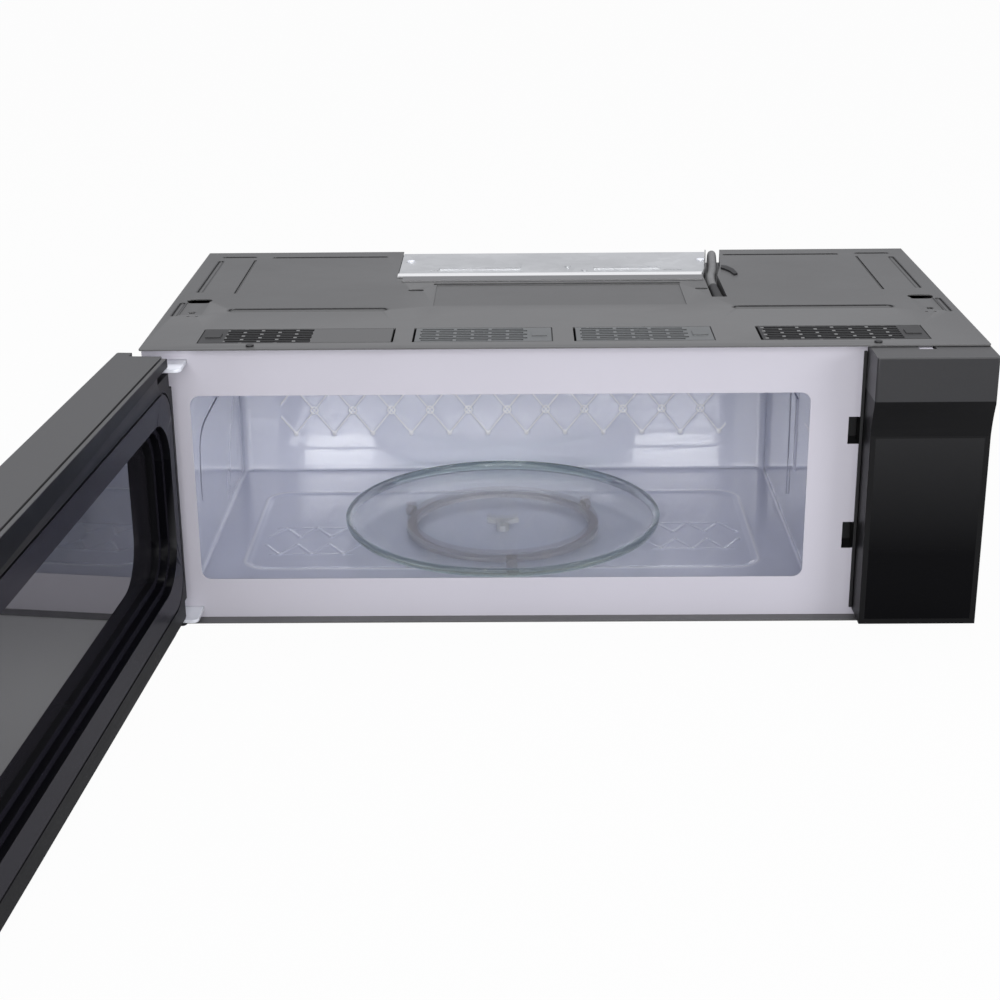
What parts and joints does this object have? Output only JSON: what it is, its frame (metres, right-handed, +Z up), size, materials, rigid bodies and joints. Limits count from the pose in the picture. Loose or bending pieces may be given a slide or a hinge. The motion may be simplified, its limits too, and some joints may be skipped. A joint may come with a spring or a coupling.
{
  "type": "over the range microwave",
  "caption": "Low-profile over-the-range microwave oven with a side-hinged door, glass turntable, top vents with grilles, ventilation blower and mains cord.",
  "frame": {"origin": "middle of the cabinet's bottom face", "axes": "+X to the right seen from the front, +Y towards the wall behind, +Z up"},
  "size_m": [0.8208, 1.2024, 0.2684],
  "materials": {
    "aluminium_can": "plain",
    "bare_steel": "plain steel",
    "black_plastic": "matte black",
    "black_screw": "black oxide",
    "cavity_enamel": "glossy bluish-white enamel with pressed pattern",
    "charcoal": "charcoal mat",
    "choke_black": "glossy black",
    "circuit_board": "green board",
    "clear_glass": "clear, faintly green",
    "cord_rubber": "matte grey sheath",
    "core_steel": "varnished laminations",
    "dark_plastic": "satin dark grey",
    "door_glass": "dark printed glass",
    "facia_metal": "dark metallic satin",
    "filter_mesh": "layered mesh",
    "grey_paint": "satin grey powder coat",
    "hinge_white": "glossy white enamel",
    "inner_glass": "smoked",
    "lamp_parts": "plain metal",
    "lens_glass": "frosted lens",
    "mica": "matte pale sheet",
    "pale_plastic": "natural moulded plastic",
    "panel_glass": "polished black panel",
    "plug_black": "moulded grey",
    "ring_plastic": "warm grey",
    "screen_metal": "black perforated sheet",
    "spring_steel": "spring wire",
    "vent_grey": "satin grey",
    "white_enamel": "glossy pale lilac-white enamel",
    "zinc_steel": "galvanised"
  },
  "bodies": {
    "cabinet": {"back_panel": "zinc_steel", "base_panel": "grey_paint", "blower_housing": "zinc_steel", "blower_motor": "core_steel", "blower_plate": "zinc_steel", "cavity": "cavity_enamel", "cavity_lamp": "lamp_parts", "charcoal_filters": "charcoal", "control_board": "circuit_board", "control_panel_glass": "panel_glass", "control_panel_housing": "facia_metal", "cooling_fan_housing": "dark_plastic", "cord_clip": "black_plastic", "cord_coil": "cord_rubber", "cord_tie": "black_plastic", "front_frame": "white_enamel", "hinge_bracket_bottom": "hinge_white", "hinge_bracket_top": "hinge_white", "hv_capacitor": "aluminium_can", "hv_transformer": "core_steel", "interlock_switches": "black_plastic", "lamp_boards": "zinc_steel", "lamp_lens": "lens_glass", "latch_bracket": "black_plastic", "magnetron": "bare_steel", "mount_nut_bars": "bare_steel", "power_cord": "cord_rubber", "power_plug": "plug_black", "side_panel_left": "grey_paint", "side_panel_right": "grey_paint", "strain_relief": "black_plastic", "top_panel": "grey_paint", "top_screws": "black_screw", "turntable_motor": "bare_steel", "vent_ducts": "black_plastic", "waveguide": "zinc_steel", "waveguide_cover": "mica"},
    "door": {"door_frame": "facia_metal", "door_outer_glass": "door_glass", "door_choke": "choke_black", "door_inner_glass": "inner_glass", "door_screen": "screen_metal", "door_hinge_pins": "bare_steel"},
    "latch": {"door_latch": "pale_plastic", "latch_spring": "spring_steel"},
    "turntable": {"turntable_coupler": "pale_plastic", "turntable_plate": "clear_glass"},
    "roller_ring": {"roller_ring": "ring_plastic"},
    "roller_1": {"roller_wheel_1": "ring_plastic"},
    "roller_2": {"roller_wheel_2": "ring_plastic"},
    "roller_3": {"roller_wheel_3": "ring_plastic"},
    "blower": {"blower_wheel": "black_plastic"},
    "cooling_fan": {"cooling_fan": "dark_plastic"},
    "vent_1": {"vent_cover_1": "dark_plastic"},
    "vent_2": {"vent_cover_2": "vent_grey"},
    "vent_3": {"vent_cover_3": "vent_grey"},
    "vent_4": {"vent_cover_4": "dark_plastic"},
    "filter_left": {"grease_filter_left": "filter_mesh"},
    "filter_right": {"grease_filter_right": "filter_mesh"}
  },
  "joints": [
    {"name": "door_hinge", "type": "hinge", "parent": "cabinet", "child": "door", "pos_m": [-0.3726, -0.21125, 0.13], "axis": [0, 0, 1], "range_deg": [-16, 93.85]},
    {"name": "latch_slide", "type": "slide", "parent": "door", "child": "latch", "axis": [0, 0, 1], "range_m": [0, 0.005], "stiffness_N_per_m": 300, "springref_m": -0.004, "deforming": ["latch_spring"]},
    {"name": "turntable_spin", "type": "hinge", "parent": "cabinet", "child": "turntable", "pos_m": [-0.0574, -0.0248, 0.036], "axis": [0, 0, 1], "continuous": true},
    {"name": "ring_spin", "type": "hinge", "parent": "cabinet", "child": "roller_ring", "pos_m": [-0.0574, -0.0248, 0.0305], "axis": [0, 0, 1], "continuous": true},
    {"name": "roller_1_spin", "type": "hinge", "parent": "roller_ring", "child": "roller_1", "pos_m": [0.02943, 0.036, 0.0305], "axis": [0.8192, 0.5736, 0], "continuous": true},
    {"name": "roller_2_spin", "type": "hinge", "parent": "roller_ring", "child": "roller_2", "pos_m": [-0.15347, 0.02, 0.0305], "axis": [-0.9063, 0.4226, 0], "continuous": true},
    {"name": "roller_3_spin", "type": "hinge", "parent": "roller_ring", "child": "roller_3", "pos_m": [-0.04816, -0.1304, 0.0305], "axis": [0.0872, -0.9962, 0], "continuous": true},
    {"name": "blower_spin", "type": "hinge", "parent": "cabinet", "child": "blower", "pos_m": [0, 0.1405, 0.24], "axis": [0, 0, 1], "continuous": true},
    {"name": "cooling_fan_spin", "type": "hinge", "parent": "cabinet", "child": "cooling_fan", "pos_m": [0.308, 0.1903, 0.172], "axis": [0, 1, 0], "continuous": true},
    {"name": "vent_1_hinge", "type": "hinge", "parent": "cabinet", "child": "vent_1", "pos_m": [-0.1572, -0.1555, 0.2634], "axis": [0, 1, 0], "range_deg": [0, 75]},
    {"name": "vent_2_hinge", "type": "hinge", "parent": "cabinet", "child": "vent_2", "pos_m": [-0.1328, -0.1555, 0.2634], "axis": [0, -1, 0], "range_deg": [0, 75]},
    {"name": "vent_3_hinge", "type": "hinge", "parent": "cabinet", "child": "vent_3", "pos_m": [0.0137, -0.1555, 0.2634], "axis": [0, -1, 0], "range_deg": [0, 75]},
    {"name": "vent_4_hinge", "type": "hinge", "parent": "cabinet", "child": "vent_4", "pos_m": [0.1817, -0.1555, 0.2634], "axis": [0, -1, 0], "range_deg": [0, 75]},
    {"name": "filter_left_slide", "type": "slide", "parent": "cabinet", "child": "filter_left", "axis": [-1, 0, 0], "range_m": [0, 0.0094]},
    {"name": "filter_right_slide", "type": "slide", "parent": "cabinet", "child": "filter_right", "axis": [1, 0, 0], "range_m": [0, 0.0094]}
  ],
  "couplings": [
    {"joint": "ring_spin", "follows": "turntable_spin", "ratio": 0.5},
    {"joint": "roller_1_spin", "follows": "turntable_spin", "ratio": -9.6364},
    {"joint": "roller_2_spin", "follows": "turntable_spin", "ratio": -9.6364},
    {"joint": "roller_3_spin", "follows": "turntable_spin", "ratio": -9.6364}
  ]
}
